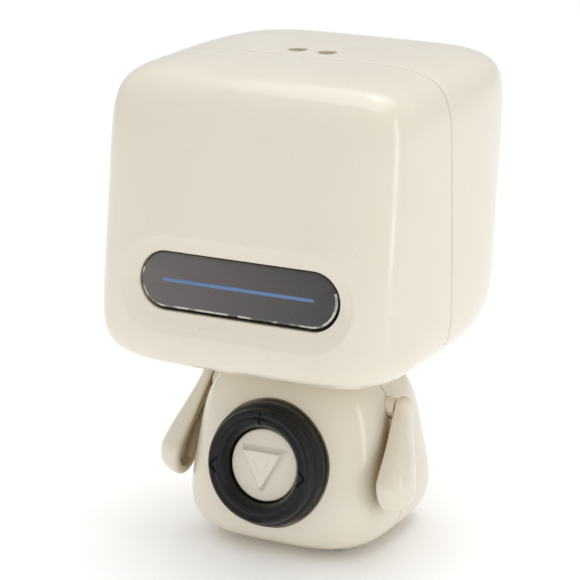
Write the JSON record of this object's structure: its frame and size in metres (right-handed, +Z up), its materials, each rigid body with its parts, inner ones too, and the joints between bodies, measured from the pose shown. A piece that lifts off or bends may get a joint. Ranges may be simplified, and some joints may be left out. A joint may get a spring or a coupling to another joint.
{
  "type": "desk companion coding robot",
  "caption": "Big-headed desk coding robot with a light line in a smoked face window, a turning head, swinging arms and a four-way control ring round a centre button.",
  "frame": {"origin": "on the floor under the torso's centre, at the underside of the foot pad", "axes": "+Z up, -Y the way the face looks, +X the robot's own left"},
  "size_m": [0.0866, 0.0954, 0.1301],
  "materials": {
    "cream_shell": "glossy cream moulded ABS",
    "soft_black": "satin black soft-touch plastic",
    "smoked_window": "smoked polished acrylic with a lit line",
    "light_guide": "blue lit diffuser",
    "black_rubber": "matt black rubber",
    "circuit_board": "green solder mask",
    "steel": "plated steel",
    "white_nylon": "natural white nylon",
    "servo_case": "translucent blue servo case",
    "battery_foil": "laminated foil pouch",
    "silicone": "translucent silicone"
  },
  "bodies": {
    "torso": {"torso_front_shell": "cream_shell", "torso_rear_shell": "cream_shell", "foot_pad": "black_rubber", "base_hatch": "cream_shell", "main_board": "circuit_board", "board_screw_right_front": "steel", "board_screw_right_rear": "steel", "board_screw_left_front": "steel", "board_screw_left_rear": "steel", "battery_cell": "battery_foil", "charge_socket": "steel", "power_switch_body": "steel", "head_servo": "servo_case", "servo_bracket": "white_nylon", "servo_screw_right": "steel", "servo_screw_left": "steel", "neck_bearing": "white_nylon", "rocker_yoke": "white_nylon", "control_board": "circuit_board", "keypad_mat": "silicone", "button_guide": "white_nylon", "left_shoulder_washer": "cream_shell", "right_shoulder_washer": "cream_shell"},
    "head": {"head_front_shell": "cream_shell", "head_rear_shell": "cream_shell", "face_window": "smoked_window", "window_gasket": "black_rubber", "light_bar": "light_guide", "face_board": "circuit_board", "speaker_driver": "black_rubber", "speaker_frame": "white_nylon", "speaker_grille": "soft_black", "left_microphone": "steel", "right_microphone": "steel", "microphone_board": "circuit_board", "neck_plate": "white_nylon", "servo_horn": "white_nylon", "horn_screw": "steel", "neck_screw_left": "steel", "neck_screw_right": "steel", "servo_spline": "white_nylon"},
    "left_arm": {"left_arm_shell": "cream_shell", "left_arm_inner_cover": "cream_shell", "left_shoulder_pin": "white_nylon"},
    "right_arm": {"right_arm_shell": "cream_shell", "right_arm_inner_cover": "cream_shell", "right_shoulder_pin": "white_nylon"},
    "gimbal": {"rocker_gimbal": "steel"},
    "ring": {"control_ring": "soft_black", "ring_carrier": "white_nylon"},
    "button": {"center_button": "cream_shell"},
    "power_knob": {"power_switch_knob": "soft_black"}
  },
  "joints": [
    {"name": "head_turn", "type": "hinge", "parent": "torso", "child": "head", "pos_m": [0, 0, 0.05], "axis": [0, 0, 1], "range_deg": [-60, 60]},
    {"name": "left_arm_swing", "type": "hinge", "parent": "torso", "child": "left_arm", "pos_m": [0.0246, -0.0026, 0.0385], "axis": [-1, 0, 0], "range_deg": [-75, 55]},
    {"name": "right_arm_swing", "type": "hinge", "parent": "torso", "child": "right_arm", "pos_m": [-0.0246, -0.0026, 0.0385], "axis": [-1, 0, 0], "range_deg": [-75, 55]},
    {"name": "ring_rock_sideways", "type": "hinge", "parent": "torso", "child": "gimbal", "pos_m": [0, -0.01748, 0.02465], "axis": [0, 0.1478, 0.989], "range_deg": [-1.5, 1.5], "stiffness_Nm_per_rad": 0.5},
    {"name": "ring_rock_up_down", "type": "hinge", "parent": "gimbal", "child": "ring", "pos_m": [0, -0.01748, 0.02465], "axis": [1, 0, 0], "range_deg": [-1.5, 1.5], "stiffness_Nm_per_rad": 0.5},
    {"name": "button_press", "type": "slide", "parent": "torso", "child": "button", "axis": [0, 0.989, -0.1478], "range_m": [0, 0.0012], "stiffness_N_per_m": 900, "springref_m": -0.0004},
    {"name": "power_switch_slide", "type": "slide", "parent": "torso", "child": "power_knob", "axis": [-1, 0, 0], "range_m": [0, 0.0013]}
  ]
}
